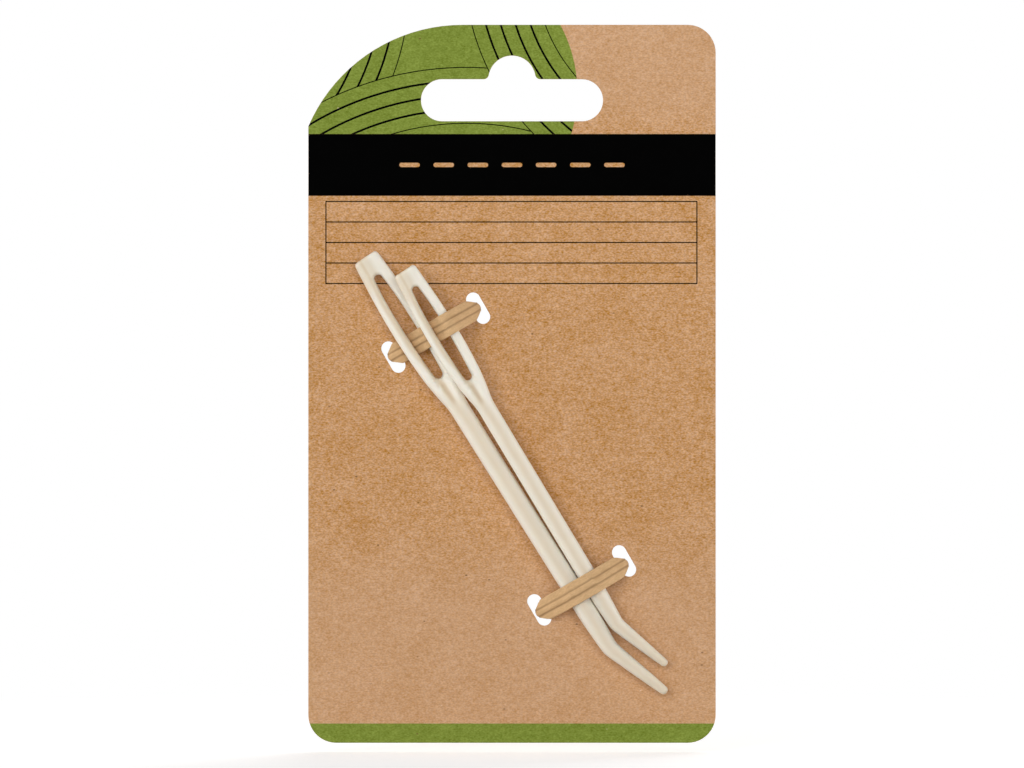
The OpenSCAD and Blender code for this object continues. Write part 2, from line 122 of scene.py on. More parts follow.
class Wiring:
    """Adds nodes to one node tree and links them."""

    def __init__(self, tree: NodeTree) -> None:
        """Starts work on a tree."""
        self.tree = tree

    def node(self, kind: str, *sources: Source, **settings: object) -> Node:
        """Adds a node.

        Args:
            kind: The node's type, such as ShaderNodeMath.
            *sources: What its first inputs take, in order.
            **settings: Properties of the node and their values.

        Returns:
            The new node.
        """
        made = self.tree.nodes.new(kind)
        for name, value in settings.items():
            setattr(made, name, value)
        for socket, source in zip(made.inputs, sources):
            self.feed(socket, source)
        return made

    def feed(self, socket: NodeSocket, source: Source) -> None:
        """Links a socket to another one, or sets its value.

        Args:
            socket: The input.
            source: What it takes.
        """
        if isinstance(source, NodeSocket):
            self.tree.links.new(source, socket)
        else:
            socket.default_value = source

    def maths(self, operation: str, *terms: Source, clamp: bool = False) -> NodeSocket:
        """Works out one number from others, held between 0 and 1 if it is clamped."""
        return self.node("ShaderNodeMath", *terms, operation=operation, use_clamp=clamp).outputs[0]

    def times(self, one: Source, other: Source) -> NodeSocket:
        """Multiplies two numbers."""
        return self.maths("MULTIPLY", one, other)

    def plus_share(self, base: Source, value: Source, share: float, clamp: bool = False) -> NodeSocket:
        """Adds a share of a value to a base."""
        return self.maths("MULTIPLY_ADD", value, share, base, clamp=clamp)

    def most(self, one: Source, other: Source) -> NodeSocket:
        """Takes the larger of two numbers, which joins two masks."""
        return self.maths("MAXIMUM", one, other)

    def less(self, one: Source, other: Source) -> NodeSocket:
        """Subtracts the second number from the first."""
        return self.maths("SUBTRACT", one, other)

    def vectors(self, operation: str, vector: Source, other: Source = (0.0, 0.0, 0.0)) -> Node:
        """Adds a node that works on one vector or two."""
        return self.node("ShaderNodeVectorMath", vector, other, operation=operation)

    def scaled(self, vector: Source, factors: Source) -> NodeSocket:
        """Scales a vector along its three axes."""
        return self.vectors("MULTIPLY", vector, factors).outputs[0]

    def moved(self, vector: Source, by: Source) -> NodeSocket:
        """Moves a vector."""
        return self.vectors("ADD", vector, by).outputs[0]

    def distance(self, vector: Source, centre: Sequence[float]) -> NodeSocket:
        """Measures how far a vector is from a centre."""
        return self.vectors("DISTANCE", vector, centre).outputs["Value"]

    def parts(self, vector: Source) -> tuple[NodeSocket, NodeSocket, NodeSocket]:
        """Splits a vector into its three numbers."""
        return tuple(self.node("ShaderNodeSeparateXYZ", vector).outputs)

    def blend(self, factor: Source, low: Source, high: Source, mode: str = "MIX") -> NodeSocket:
        """Mixes two colours.

        Args:
            factor: 0 for low and 1 for high.
            low: The first colour.
            high: The second colour.
            mode: How the second colour goes over the first.

        Returns:
            The mixed colour.
        """
        made = self.node("ShaderNodeMix", data_type="RGBA", blend_type=mode)
        self.feed(made.inputs[0], factor)
        self.feed(made.inputs[6], low)
        self.feed(made.inputs[7], high)
        return made.outputs[2]

    def ramp(self, value: Source, low: float, high: float) -> NodeSocket:
        """Turns a value into a soft mask: 0 at low, 1 at high, either way round."""
        made = self.node("ShaderNodeMapRange", value, low, high, interpolation_type="SMOOTHSTEP")
        return made.outputs["Result"]

    def within(self, value: Source, low: float, high: float, soft: float) -> NodeSocket:
        """Masks the values between two limits.

        Args:
            value: The value.
            low: The lower limit.
            high: The upper limit.
            soft: How far the mask's edges reach to either side.

        Returns:
            The mask.
        """
        rise = self.ramp(value, low - soft, low + soft)
        fall = self.ramp(value, high + soft, high - soft)
        return self.times(rise, fall)

    def drift(self, along: NodeSocket, drift: Drift) -> Source:
        """Follows a value that changes along a piece.

        Args:
            along: The place along the piece.
            drift: The value's first level and its steps.

        Returns:
            The value at that place.
        """
        value: Source = drift.first
        for start, end, change in drift.steps:
            value = self.plus_share(value, self.ramp(along, start, end), change)
        return value

    def grain(self, vector: Source, layer: Grain) -> NodeSocket:
        """Adds one layer of noise.

        Args:
            vector: The place that it reads.
            layer: How fine and how rough it is.

        Returns:
            The noise, from 0 to 1.
        """
        made = self.node("ShaderNodeTexNoise")
        self.feed(made.inputs["Vector"], vector)
        for label, value in (("Scale", layer.scale), ("Detail", layer.detail), ("Roughness", layer.rough)):
            made.inputs[label].default_value = value
        return made.outputs[0]

    def group(self, tree: NodeTree, **values: Source) -> Node:
        """Places a node group.

        Args:
            tree: The group.
            **values: Its inputs, in small letters.

        Returns:
            The group's node.
        """
        made = self.node("ShaderNodeGroup", node_tree=tree)
        for name, value in values.items():
            self.feed(made.inputs[name.capitalize()], value)
        return made


def new_group(name: str, numbers: Sequence[str], results: Sequence[str]) -> tuple[Wiring, Node, Node]:
    """Starts a shader group that takes a vector and some numbers.

    Args:
        name: The group's name.
        numbers: The names of its number inputs.
        results: The names of its outputs.

    Returns:
        The wiring of the group, its input node and its output node.
    """
    tree = bpy.data.node_groups.new(name, "ShaderNodeTree")
    tree.interface.new_socket(name="Vector", in_out="INPUT", socket_type="NodeSocketVector")
    for labels, way in ((numbers, "INPUT"), (results, "OUTPUT")):
        for label in labels:
            tree.interface.new_socket(name=label, in_out=way, socket_type="NodeSocketFloat")
    wiring = Wiring(tree)
    return wiring, wiring.node("NodeGroupInput"), wiring.node("NodeGroupOutput")


@dataclass(frozen=True)
class Fleck:
    """One sort of fleck: its output's name, how close together it is, and its shift."""

    label: str
    scale: float
    shift: float


@dataclass(frozen=True)
class PaperFibre:
    """The grain of kraft paper."""

    lie: Triple = (0.8, 1.0, 1.35)
    speckle: Grain = Grain(2.9, 3.0, 0.62)
    speckle_share: float = 2.4
    mottle: Grain = Grain(1.15, 3.0, 0.6)
    mottle_share: float = 1.1
    cloud: Grain = Grain(0.14, 3.0, 0.55)
    tint: Grain = Grain(2.7, 2.0, 0.6)
    tint_share: float = 3.0
    tint_shift: Triple = (37.0, 37.0, 37.0)
    middle: float = 0.5
    fleck_lie: Triple = (1.0, 1.0, 1.5)
    fleck_edge: Span = (0.075, 0.035)
    fleck_chance: Span = (0.35, 0.8)
    flecks: tuple[Fleck, ...] = (Fleck("Dark fleck", 0.26, 0.0), Fleck("Pale fleck", 0.34, 71.0))

    def build(self) -> NodeTree:
        """Makes the group.

        Returns:
            A group with the outputs Tone, Hue and Height, and one for each sort of fleck.
        """
        labels = ["Tone", "Hue", "Height"] + [fleck.label for fleck in self.flecks]
        wiring, given, result = new_group("Paper fibre", ["Cloud"], labels)
        place = given.outputs["Vector"]
        along = wiring.scaled(place, self.lie)
        speckle, mottle = wiring.grain(along, self.speckle), wiring.grain(along, self.mottle)
        cloud = wiring.grain(place, self.cloud)
        tint = wiring.grain(wiring.moved(along, self.tint_shift), self.tint)
        fine = wiring.plus_share(self.middle, wiring.less(speckle, self.middle), self.speckle_share)
        patchy = wiring.times(wiring.less(mottle, self.middle), self.mottle_share)
        broad = wiring.times(wiring.less(cloud, self.middle), given.outputs["Cloud"])
        tone = wiring.maths("ADD", fine, wiring.maths("ADD", patchy, broad), clamp=True)
        hue = wiring.plus_share(self.middle, wiring.less(tint, self.middle), self.tint_share, clamp=True)
        height = wiring.maths("ADD", speckle, mottle)
        for label, source in (("Tone", tone), ("Hue", hue), ("Height", height)):
            wiring.feed(result.inputs[label], source)
        for fleck in self.flecks:
            cells = wiring.node("ShaderNodeTexVoronoi")
            shifted = wiring.moved(wiring.scaled(place, self.fleck_lie), (fleck.shift,) * 3)
            wiring.feed(cells.inputs["Vector"], shifted)
            cells.inputs["Scale"].default_value = fleck.scale
            spot = wiring.ramp(cells.outputs["Distance"], *self.fleck_edge)
            chance = wiring.ramp(wiring.parts(cells.outputs["Color"])[0], *self.fleck_chance)
            wiring.feed(result.inputs[fleck.label], wiring.times(spot, chance))
        return wiring.tree


def wound_strand_group() -> NodeTree:
    """Makes a band of parallel arcs, like one layer of wound yarn.

    Returns:
        A group with the outputs Band, for the whole layer, and Line, for the gaps of its strands.
    """
    wiring, given, result = new_group("Wound strands", ["Inner", "Outer", "Pitch", "Line"], ["Band", "Line"])
    reach = wiring.vectors("LENGTH", given.outputs["Vector"]).outputs["Value"]
    after = wiring.maths("GREATER_THAN", reach, given.outputs["Inner"])
    before = wiring.maths("LESS_THAN", reach, given.outputs["Outer"])
    past = wiring.less(reach, given.outputs["Inner"])
    wave = wiring.maths("PINGPONG", past, wiring.times(given.outputs["Pitch"], 0.5))
    line = wiring.maths("LESS_THAN", wave, wiring.times(given.outputs["Line"], 0.5))
    band = wiring.times(after, before)
    wiring.feed(result.inputs["Band"], band)
    wiring.feed(result.inputs["Line"], wiring.times(line, band))
    return wiring.tree


@dataclass(frozen=True)
class HandlingMarks:
    """The faint smudges and rub marks that handling leaves."""

    smudge: Grain = Grain(0.35, 4.0, 0.6)
    smudge_edge: Span = (0.35, 0.7)
    rub: Grain = Grain(6.0)
    rub_edge: Span = (0.6, 0.78)

    def build(self) -> NodeTree:
        """Makes the group.

        Returns:
            A group with the outputs Smudge and Rub, which takes how far rub marks are stretched.
        """
        wiring, given, result = new_group("Handling marks", ["Stretch"], ["Smudge", "Rub"])
        place = given.outputs["Vector"]
        shorter = wiring.maths("DIVIDE", 1.0, given.outputs["Stretch"])
        factors = wiring.node("ShaderNodeCombineXYZ", shorter, 1.0, 1.0)
        smudge = wiring.ramp(wiring.grain(place, self.smudge), *self.smudge_edge)
        stretched = wiring.scaled(place, factors.outputs[0])
        wiring.feed(result.inputs["Smudge"], smudge)
        wiring.feed(result.inputs["Rub"], wiring.ramp(wiring.grain(stretched, self.rub), *self.rub_edge))
        return wiring.tree


@dataclass(frozen=True)
class Finish:
    """What every finish has: the name of its slot in the record, and its place in the shader."""

    slot: str

    def begin(self) -> tuple[Material, Wiring, Node]:
        """Starts a material with one Principled shader.

        Returns:
            The material, its wiring and the shader.
        """
        material = bpy.data.materials.new(self.slot)
        material.use_nodes = True
        material.node_tree.nodes.clear()
        wiring = Wiring(material.node_tree)
        shader = wiring.node("ShaderNodeBsdfPrincipled")
        wiring.node("ShaderNodeOutputMaterial", shader.outputs["BSDF"])
        return material, wiring, shader

    def dress(self, wiring: Wiring, shader: Node, colour: Source, rough: Source, height: Source,
              depth: float) -> None:
        """Feeds a shader what changes over the surface.

        Args:
            wiring: The material's wiring.
            shader: The shader.
            colour: The base colour.
            rough: The roughness.
            height: The height map.
            depth: How deep the height map goes, in metres.
        """
        bump = wiring.node("ShaderNodeBump")
        bump.inputs["Strength"].default_value = 1.0
        bump.inputs["Distance"].default_value = depth
        wiring.feed(bump.inputs["Height"], height)
        normal = bump.outputs["Normal"]
        for label, source in (("Base Color", colour), ("Roughness", rough), ("Normal", normal)):
            wiring.feed(shader.inputs[label], source)

    def surface(self, wiring: Wiring) -> NodeSocket:
        """Gives the piece's own coordinates in millimetres: along, across and out."""
        place = wiring.node("ShaderNodeAttribute", attribute_name=SURFACE).outputs["Vector"]
        return wiring.scaled(place, PER_MM)


@dataclass(frozen=True)
class WoundStrands:
    """One layer of strands on the printed yarn ball, as arcs about a centre."""

    centre: Span
    inner: float
    outer: float
    pitch: float


@dataclass(frozen=True)
class KraftBoard(Finish):
    """Uncoated brown kraft board with matt print."""

    slot: str = "kraft_board"
    dark: Colour = srgb(177, 121, 46)
    pale: Colour = srgb(219, 177, 140)
    paler_end_colour: Colour = srgb(212, 175, 145)
    rosy: Colour = (1.075, 1.03, 0.88, 1.0)
    greyed: Colour = (0.93, 0.97, 1.13, 1.0)
    cut: Colour = srgb(218, 190, 156)
    fleck: Colour = srgb(104, 74, 48)
    bright: Colour = srgb(232, 208, 180)
    green_dark: Colour = srgb(107, 123, 42)
    green_pale: Colour = srgb(141, 158, 72)
    black: Colour = srgb(2, 2, 2)
    cloud: float = 0.5
    paler_top: Span = (-16.0, -6.0)
    paler_foot: Span = (-78.0, -100.0)
    paler_end_share: float = 0.33
    cut_facing: Span = (0.6, 0.3)
    cut_share: float = 0.6
    fleck_share: float = 0.75
    bright_share: float = 0.5
    front_from: float = -0.27
    edge_soft: float = 0.02
    band: Span = (-24.66, -13.8)
    footer: float = -117.4
    rule: float = 0.2
    rule_sides: Span = (-32.7, 32.5)
    rule_top: float = -25.65
    row: float = 3.605
    rows: int = 4
    ball_centre: Triple = (-13.5, 0.0, -6.5)
    ball_radius: float = 25.0
    strand_line: float = 0.36
    strands: tuple[WoundStrands, ...] = (
        WoundStrands((-62.0, 12.0), 24.0, 44.0, 2.5),
        WoundStrands((-8.0, -58.0), 46.0, 56.0, 2.5),
        WoundStrands((34.0, 16.0), 30.0, 42.5, 2.5),
    )
    stitch: float = 3.6
    stitch_pitch: float = 6.0
    stitch_half: float = 0.38
    stitches: int = 7
    roughness: float = 0.93
    smudge_sheen: float = -0.06
    ink_sheen: float = -0.12
    specular: float = 0.01
    fibre_depth: float = 0.012 * MM

    def rules(self, wiring: Wiring, x: NodeSocket, z: NodeSocket) -> NodeSocket:
        """Masks the thin ruled frame and its rows.

        Args:
            wiring: The material's wiring.
            x: The place across the card.
            z: The place up the card.

        Returns:
            The mask.
        """
        half = self.rule / 2
        bottom = self.rule_top - self.rows * self.row
        near_row = wiring.maths("PINGPONG", wiring.less(self.rule_top, z), self.row / 2)
        lines = wiring.ramp(near_row, half + self.edge_soft, half - self.edge_soft)
        inside = wiring.within(x, *self.rule_sides, self.edge_soft)
        height = wiring.within(z, bottom - half, self.rule_top + half, self.edge_soft)
        left, right = (wiring.within(x, at - half, at + half, self.edge_soft) for at in self.rule_sides)
        across = wiring.times(wiring.times(lines, inside), height)
        return wiring.most(across, wiring.times(wiring.most(left, right), height))

    def running_stitch(self, wiring: Wiring, x: NodeSocket, z: NodeSocket) -> NodeSocket:
        """Masks a row of plain stitches along the middle of the dark band.

        Args:
            wiring: The material's wiring.
            x: The place across the card.
            z: The place up the card.

        Returns:
            The mask.
        """
        span = self.stitches * self.stitch_pitch / 2
        step = wiring.maths("FLOORED_MODULO", wiring.maths("ADD", x, span), self.stitch_pitch)
        local = wiring.maths("ABSOLUTE", wiring.less(step, self.stitch_pitch / 2))
        past = wiring.most(wiring.less(local, self.stitch / 2 - self.stitch_half), 0.0)
        off = wiring.less(z, sum(self.band) / 2)
        reach = wiring.maths("SQRT", wiring.maths("MULTIPLY_ADD", past, past, wiring.times(off, off)))
        dash = wiring.ramp(reach, self.stitch_half + self.edge_soft, self.stitch_half - self.edge_soft)
        return wiring.times(dash, wiring.within(x, -span, span, self.edge_soft))

    def yarn_ball(self, wiring: Wiring, place: NodeSocket, arcs: NodeTree) -> tuple[NodeSocket, NodeSocket]:
        """Masks the printed ball of yarn and the lines between its strands.

        Args:
            wiring: The material's wiring.
            place: The place on the board.
            arcs: The group for wound strands.

        Returns:
            The mask of the ball and that of its lines.
        """
        flat = wiring.scaled(place, (1.0, 0.0, 1.0))
        near, far = self.ball_radius - self.edge_soft, self.ball_radius + self.edge_soft
        disc = wiring.ramp(wiring.distance(flat, self.ball_centre), far, near)
        lines: Source = 0.0
        for layer in self.strands:
            shifted = wiring.moved(flat, (-layer.centre[0], 0.0, -layer.centre[1]))
            placed = wiring.group(arcs, vector=shifted, inner=layer.inner, outer=layer.outer,
                                  pitch=layer.pitch, line=self.strand_line)
            below = wiring.times(lines, wiring.less(1.0, placed.outputs["Band"]))
            lines = wiring.most(placed.outputs["Line"], below)
        return disc, wiring.times(lines, disc)

    def bare(self, wiring: Wiring, paper: Node, z: NodeSocket) -> NodeSocket:
        """Colours the bare board, paler towards its two ends and where it is cut.

        Args:
            wiring: The material's wiring.
            paper: The node of the paper grain.
            z: The place up the card.

        Returns:
            The colour.
        """
        kraft = wiring.blend(paper.outputs["Tone"], self.dark, self.pale)
        tint = wiring.blend(paper.outputs["Hue"], self.greyed, self.rosy)
        kraft = wiring.blend(1.0, kraft, tint, "MULTIPLY")
        # Paler towards the top and the foot of the card.
        toward_ends = wiring.most(wiring.ramp(z, *self.paler_top), wiring.ramp(z, *self.paler_foot))
        kraft = wiring.blend(wiring.times(toward_ends, self.paler_end_share), kraft, self.paler_end_colour)
        normal = wiring.node("ShaderNodeTexCoord").outputs["Normal"]
        facing = wiring.maths("ABSOLUTE", wiring.parts(normal)[1])
        edge = wiring.times(wiring.ramp(facing, *self.cut_facing), self.cut_share)
        return wiring.blend(edge, kraft, self.cut)

    def prints(self, wiring: Wiring, place: NodeSocket, arcs: NodeTree) -> tuple[NodeSocket, NodeSocket]:
        """Masks the green and the black print on the front.

        Args:
            wiring: The material's wiring.
            place: The place on the board.
            arcs: The group for wound strands.

        Returns:
            The mask of the green and that of the black.
        """
        x, y, z = wiring.parts(place)
        front = wiring.maths("LESS_THAN", y, self.front_from)
        disc, strand_lines = self.yarn_ball(wiring, place, arcs)
        above = wiring.maths("GREATER_THAN", z, self.band[1])
        foot = wiring.maths("LESS_THAN", z, self.footer)
        ball = wiring.times(disc, above)
        band = wiring.within(z, *self.band, self.edge_soft)
        dark_band = wiring.maths("SUBTRACT", band, self.running_stitch(wiring, x, z), clamp=True)
        black = wiring.most(dark_band, self.rules(wiring, x, z))
        black = wiring.most(black, wiring.times(strand_lines, ball))
        return wiring.times(wiring.most(ball, foot), front), wiring.times(black, front)

    def build(self, fibre: NodeTree, arcs: NodeTree, handling: NodeTree) -> Material:
        """Makes the board's material.

        Args:
            fibre: The paper grain group.
            arcs: The group for wound strands.
            handling: The group for smudges.

        Returns:
            The material.
        """
        material, wiring, shader = self.begin()
        place = wiring.scaled(wiring.node("ShaderNodeTexCoord").outputs["Object"], PER_MM)
        paper = wiring.group(fibre, vector=place, cloud=self.cloud)
        green, black = self.prints(wiring, place, arcs)
        ink = wiring.blend(paper.outputs["Tone"], self.green_dark, self.green_pale)
        colour = wiring.blend(green, self.bare(wiring, paper, wiring.parts(place)[2]), ink)
        dots = wiring.times(paper.outputs["Dark fleck"], self.fleck_share)
        colour = wiring.blend(dots, colour, self.fleck)
        dots = wiring.times(paper.outputs["Pale fleck"], self.bright_share)
        colour = wiring.blend(dots, colour, self.bright)
        colour = wiring.blend(black, colour, self.black)
        smudge = wiring.group(handling, vector=place, stretch=1.0).outputs["Smudge"]
        rough = wiring.plus_share(self.roughness, smudge, self.smudge_sheen)
        rough = wiring.plus_share(rough, wiring.most(green, black), self.ink_sheen)
        shader.inputs["Specular IOR Level"].default_value = self.specular
        self.dress(wiring, shader, colour, rough, paper.outputs["Height"], self.fibre_depth)
        return material


@dataclass(frozen=True)
class CreamPlastic(Finish):
    """Satin moulded cream plastic, with painted tan shade down one line along the needle and on the head,
    and painted shade in the recess below the eye.
    """

    slot: str = "cream_plastic"
    pale: Colour = srgb(236, 232, 220)
    # Colour of the painted tan shade, also used for the random swirl of tone.
    warm_tone_and_shade: Colour = srgb(214, 196, 166)
    # Colour of the painted shade in the recess below the eye.
    deep: Colour = srgb(190, 162, 126)
    line: Colour = srgb(203, 192, 168)
    # Painted tan shade along the needle: where it runs across, how wide it is and how strong.
    shade_streak_centre: Drift = Drift(-1.15, ((2.0, 10.0, -0.55), (17.0, 27.0, 1.3), (27.0, 36.0, 0.45)))
    shade_streak_width: Drift = Drift(0.85, ((22.0, 34.0, 0.7),))
    streak_share: Drift = Drift(0.78, ((22.0, 34.0, -0.2),))
    # Painted shade on the head, by its place along and across.
    head_along: Span = (9.0, 4.0)
    head_across: Span = (1.1, -0.1)
    head_shade_share: float = 0.45
    swirl_lie: Triple = (0.25, 1.0, 1.0)
    swirl: Grain = Grain(0.8, 3.0, 0.5)
    swirl_share: float = 0.2
    # Painted shade in the recess below the eye: where it lies and how strong.
    hollow_along: Triple = (25.6, 30.0, 0.9)
    hollow_across: Triple = (-0.6, 0.15, 0.3)
    hollow_shade_share: float = 0.5
    seam_half: float = 0.035
    seam_share: float = 0.25
    rub_stretch: float = 9.0
    roughness: float = 0.4
    smudge_dull: float = 0.1
    rub_dull: float = 0.06
    ior: float = 1.49
    specular: float = 0.4
    subsurface: float = 0.18
    subsurface_radius: Triple = (1.0, 0.75, 0.5)
    subsurface_scale: float = 0.6 * MM
    peel: Grain = Grain(2.2)
    peel_share: float = 0.25
    skin_depth: float = 0.02 * MM

    def shade_streak(self, wiring: Wiring, along: NodeSocket, across: NodeSocket) -> NodeSocket:
        """Masks the painted tan shade down the left rail of the eye and the middle of the shaft.

        Args:
            wiring: The material's wiring.
            along: The place along the needle.
            across: The place across it.

        Returns:
            The mask.
        """
        off = wiring.maths("ABSOLUTE", wiring.less(across, wiring.drift(along, self.shade_streak_centre)))
        share = wiring.maths("DIVIDE", off, wiring.drift(along, self.shade_streak_width))
        return wiring.times(wiring.ramp(share, 1.0, 0.0), wiring.drift(along, self.streak_share))

    def build(self, handling: NodeTree) -> Material:
        """Makes the plastic's material.

        Args:
            handling: The group for smudges and rub marks.

        Returns:
            The material.
        """
        material, wiring, shader = self.begin()
        place = self.surface(wiring)
        along, across, out = wiring.parts(place)
        marks = wiring.group(handling, vector=place, stretch=self.rub_stretch)
        # Painted tan shade down the line and on the head, with a random swirl of tone on top.
        head = wiring.times(wiring.ramp(along, *self.head_along), wiring.ramp(across, *self.head_across))
        warm_shade_and_tone = wiring.most(self.shade_streak(wiring, along, across), wiring.times(head, self.head_shade_share))
        swirl = wiring.grain(wiring.scaled(place, self.swirl_lie), self.swirl)
        warm_shade_and_tone = wiring.maths("MINIMUM", wiring.plus_share(warm_shade_and_tone, swirl, self.swirl_share), 1.0)
        colour = wiring.blend(warm_shade_and_tone, self.pale, self.warm_tone_and_shade)
        # Painted shade in the recess below the eye, over the moulded dip.
        hollow_shade = wiring.times(wiring.within(along, *self.hollow_along), self.hollow_shade_share)
        hollow_shade = wiring.times(hollow_shade, wiring.within(across, *self.hollow_across))
        colour = wiring.blend(hollow_shade, colour, self.deep)
        seam = wiring.ramp(wiring.maths("ABSOLUTE", out), self.seam_half * 2, self.seam_half)
        colour = wiring.blend(wiring.times(seam, self.seam_share), colour, self.line)
        rough = wiring.plus_share(self.roughness, marks.outputs["Rub"], self.rub_dull)
        rough = wiring.plus_share(rough, marks.outputs["Smudge"], self.smudge_dull)
        shader.inputs["IOR"].default_value = self.ior
        shader.inputs["Specular IOR Level"].default_value = self.specular
        shader.inputs["Subsurface Weight"].default_value = self.subsurface
        shader.inputs["Subsurface Radius"].default_value = self.subsurface_radius
        shader.inputs["Subsurface Scale"].default_value = self.subsurface_scale
        height = wiring.plus_share(seam, wiring.grain(place, self.peel), self.peel_share)
        self.dress(wiring, shader, colour, rough, height, self.skin_depth)
        return material


@dataclass(frozen=True)
class KraftTie(Finish):
    """Ribbed kraft paper tape, with its fibres along the strip and painted shade in a dip each side of the
    rib.
    """

    slot: str = "kraft_tie"
    dark: Colour = srgb(184, 146, 100)
    pale: Colour = srgb(224, 187, 142)
    shade: Colour = srgb(134, 102, 66)
    streak_lie: Triple = (0.35, 3.2, 3.2)
    streaks: Grain = Grain(1.6, 3.0, 0.6)
    streak_share: float = 0.55
    fibre_lie: Triple = (0.6, 1.3, 1.3)
    fibre_share: float = 0.45
    cloud: float = 0.4
    # Where the painted shade in the dips each side of the rib lies across the strip, and how strong.
    groove_at: float = 0.57
    groove_half: float = 0.2
    groove_out: float = 0.38
    groove_shade_share: float = 0.62
    roughness: float = 0.85
    streak_sheen: float = -0.1
    specular: float = 0.25
    fibre_depth: float = 0.012 * MM

    def build(self, fibre: NodeTree) -> Material:
        """Makes the tape's material.

        Args:
            fibre: The paper grain group.

        Returns:
            The material.
        """
        material, wiring, shader = self.begin()
        place = self.surface(wiring)
        across = wiring.maths("ABSOLUTE", wiring.parts(place)[1])
        streaks = wiring.grain(wiring.scaled(place, self.streak_lie), self.streaks)
        paper = wiring.group(fibre, vector=wiring.scaled(place, self.fibre_lie), cloud=self.cloud)
        tone = wiring.times(streaks, self.streak_share)
        tone = wiring.plus_share(tone, paper.outputs["Tone"], self.fibre_share)
        colour = wiring.blend(tone, self.dark, self.pale)
        # Painted shade in the dips each side of the rib.
        inside = wiring.ramp(across, self.groove_at - self.groove_half, self.groove_at)
        outside = wiring.ramp(across, self.groove_at + self.groove_out, self.groove_at)
        groove_shade = wiring.times(wiring.times(inside, outside), self.groove_shade_share)
        colour = wiring.blend(groove_shade, colour, self.shade)
        rough = wiring.plus_share(self.roughness, streaks, self.streak_sheen)
        shader.inputs["Specular IOR Level"].default_value = self.specular
        height = wiring.maths("ADD", streaks, paper.outputs["Height"])
        self.dress(wiring, shader, colour, rough, height, self.fibre_depth)
        return material


@dataclass(frozen=True)
class TieWire(Finish):
    """Annealed iron wire, dull and a little uneven."""

    slot: str = "tie_wire"
    grey: Colour = srgb(150, 148, 146)
    brown: Colour = srgb(104, 92, 82)
    drawn_lie: Triple = (0.4, 6.0, 6.0)
    drawn: Grain = Grain(2.0, 3.0)
    spots: Grain = Grain(1.1, 4.0)
    spot_edge: Span = (0.5, 0.75)
    roughness: float = 0.3
    drawn_dull: float = 0.3
    drawn_depth: float = 0.004 * MM

    def build(self) -> Material:
        """Makes the wire's material.

        Returns:
            The material.
        """
        material, wiring, shader = self.begin()
        place = self.surface(wiring)
        drawn = wiring.grain(wiring.scaled(place, self.drawn_lie), self.drawn)
        spots = wiring.ramp(wiring.grain(place, self.spots), *self.spot_edge)
        colour = wiring.blend(spots, self.grey, self.brown)
        rough = wiring.plus_share(self.roughness, drawn, self.drawn_dull)
        shader.inputs["Metallic"].default_value = 1.0
        self.dress(wiring, shader, colour, rough, drawn, self.drawn_depth)
        return material


def merged_copy(node: str) -> BMesh:
    """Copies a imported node's mesh, whose triangles are loose, and joins them at their corners.

    Args:
        node: The node's name.

    Returns:
        The merged mesh.
    """
    bm = bmesh.new()
    bm.from_mesh(frame["nodes"][node].data)
    bmesh.ops.remove_doubles(bm, verts=bm.verts, dist=WELD)
    return bm


def join_quads(bm: BMesh) -> None:
    """Joins pairs of triangles into quads."""
    bmesh.ops.join_triangles(bm, faces=bm.faces[:], angle_face_threshold=QUAD_FOLD,
                             angle_shape_threshold=ANY_SHAPE)


def rings_from(start: Sequence[BMVert]) -> list[list[BMVert]]:
    """Sorts the vertices of a swept piece into rings, walking from one end.

    Args:
        start: The vertices of the first ring.

    Returns:
        The rings in order.
    """
    rings = [list(start)]
    seen = set(start)
    while rings[-1]:
        ring: list[BMVert] = []
        for vert in rings[-1]:
            for edge in vert.link_edges:
                other = edge.other_vert(vert)
                if other not in seen:
                    seen.add(other)
                    ring.append(other)
        rings.append(ring)
    return rings[:-1]


def finished(bm: BMesh, name: str, material: Material, levels: int) -> Object:
    """Turns a bmesh into a smooth piece.

    Args:
        bm: The mesh. It is used up.
        name: The piece's name.
        material: Its finish.
        levels: Levels of subdivision, or 0 for none.

    Returns:
        The piece.
    """
    for face in bm.faces:
        face.smooth = True
    mesh = bpy.data.meshes.new(name)
    bm.to_mesh(mesh)
    bm.free()
    mesh.materials.append(material)
    piece = bpy.data.objects.new(name, mesh)
    bpy.context.scene.collection.objects.link(piece)
    if levels:
        finer = piece.modifiers.new("Finer", "SUBSURF")
        finer.levels = finer.render_levels = levels
    return piece


def seat(piece: Object, node: str, body: str) -> Object:
    """Lets a piece stand for its node.

    Args:
        piece: The piece.
        node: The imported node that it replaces.
        body: The body that it rides on.

    Returns:
        The piece.
    """
    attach(piece, body)
    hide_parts(node)
    return piece


@dataclass
class HangCard:
    """The die-cut board, with edges softened by the cutting rule."""

    material: Material
    slot: str = "kraft_board"
    node: str = "card"
    body: str = "carrier"
    flat_within: float = math.radians(1)
    rim_from: float = math.radians(45)
    sharp_from: float = math.radians(20)
    front_round: float = 0.07 * MM
    back_round: float = 0.03 * MM
    round_steps: int = 2

    def build(self) -> list[Object]:
        """Makes the board.

        Returns:
            The board as one piece.
        """
        bm = merged_copy(self.node)
        bmesh.ops.dissolve_limit(bm, angle_limit=self.flat_within, verts=bm.verts, edges=bm.edges)
        low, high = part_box(self.node)
        for face_y, width in ((low[1], self.front_round), (high[1], self.back_round)):
            edges = [edge for edge in bm.edges
                     if all(abs(vert.co.y - face_y) < WELD for vert in edge.verts)
                     and edge.calc_face_angle(0) > self.rim_from]
            bmesh.ops.bevel(bm, geom=edges, offset=width, offset_type="OFFSET", segments=self.round_steps,
                            profile=0.5, affect="EDGES", material=-1)
        board = finished(bm, "hang_card_board", self.material, 0)
        board.data.set_sharp_from_angle(angle=self.sharp_from)
        return [seat(board, self.node, self.body)]


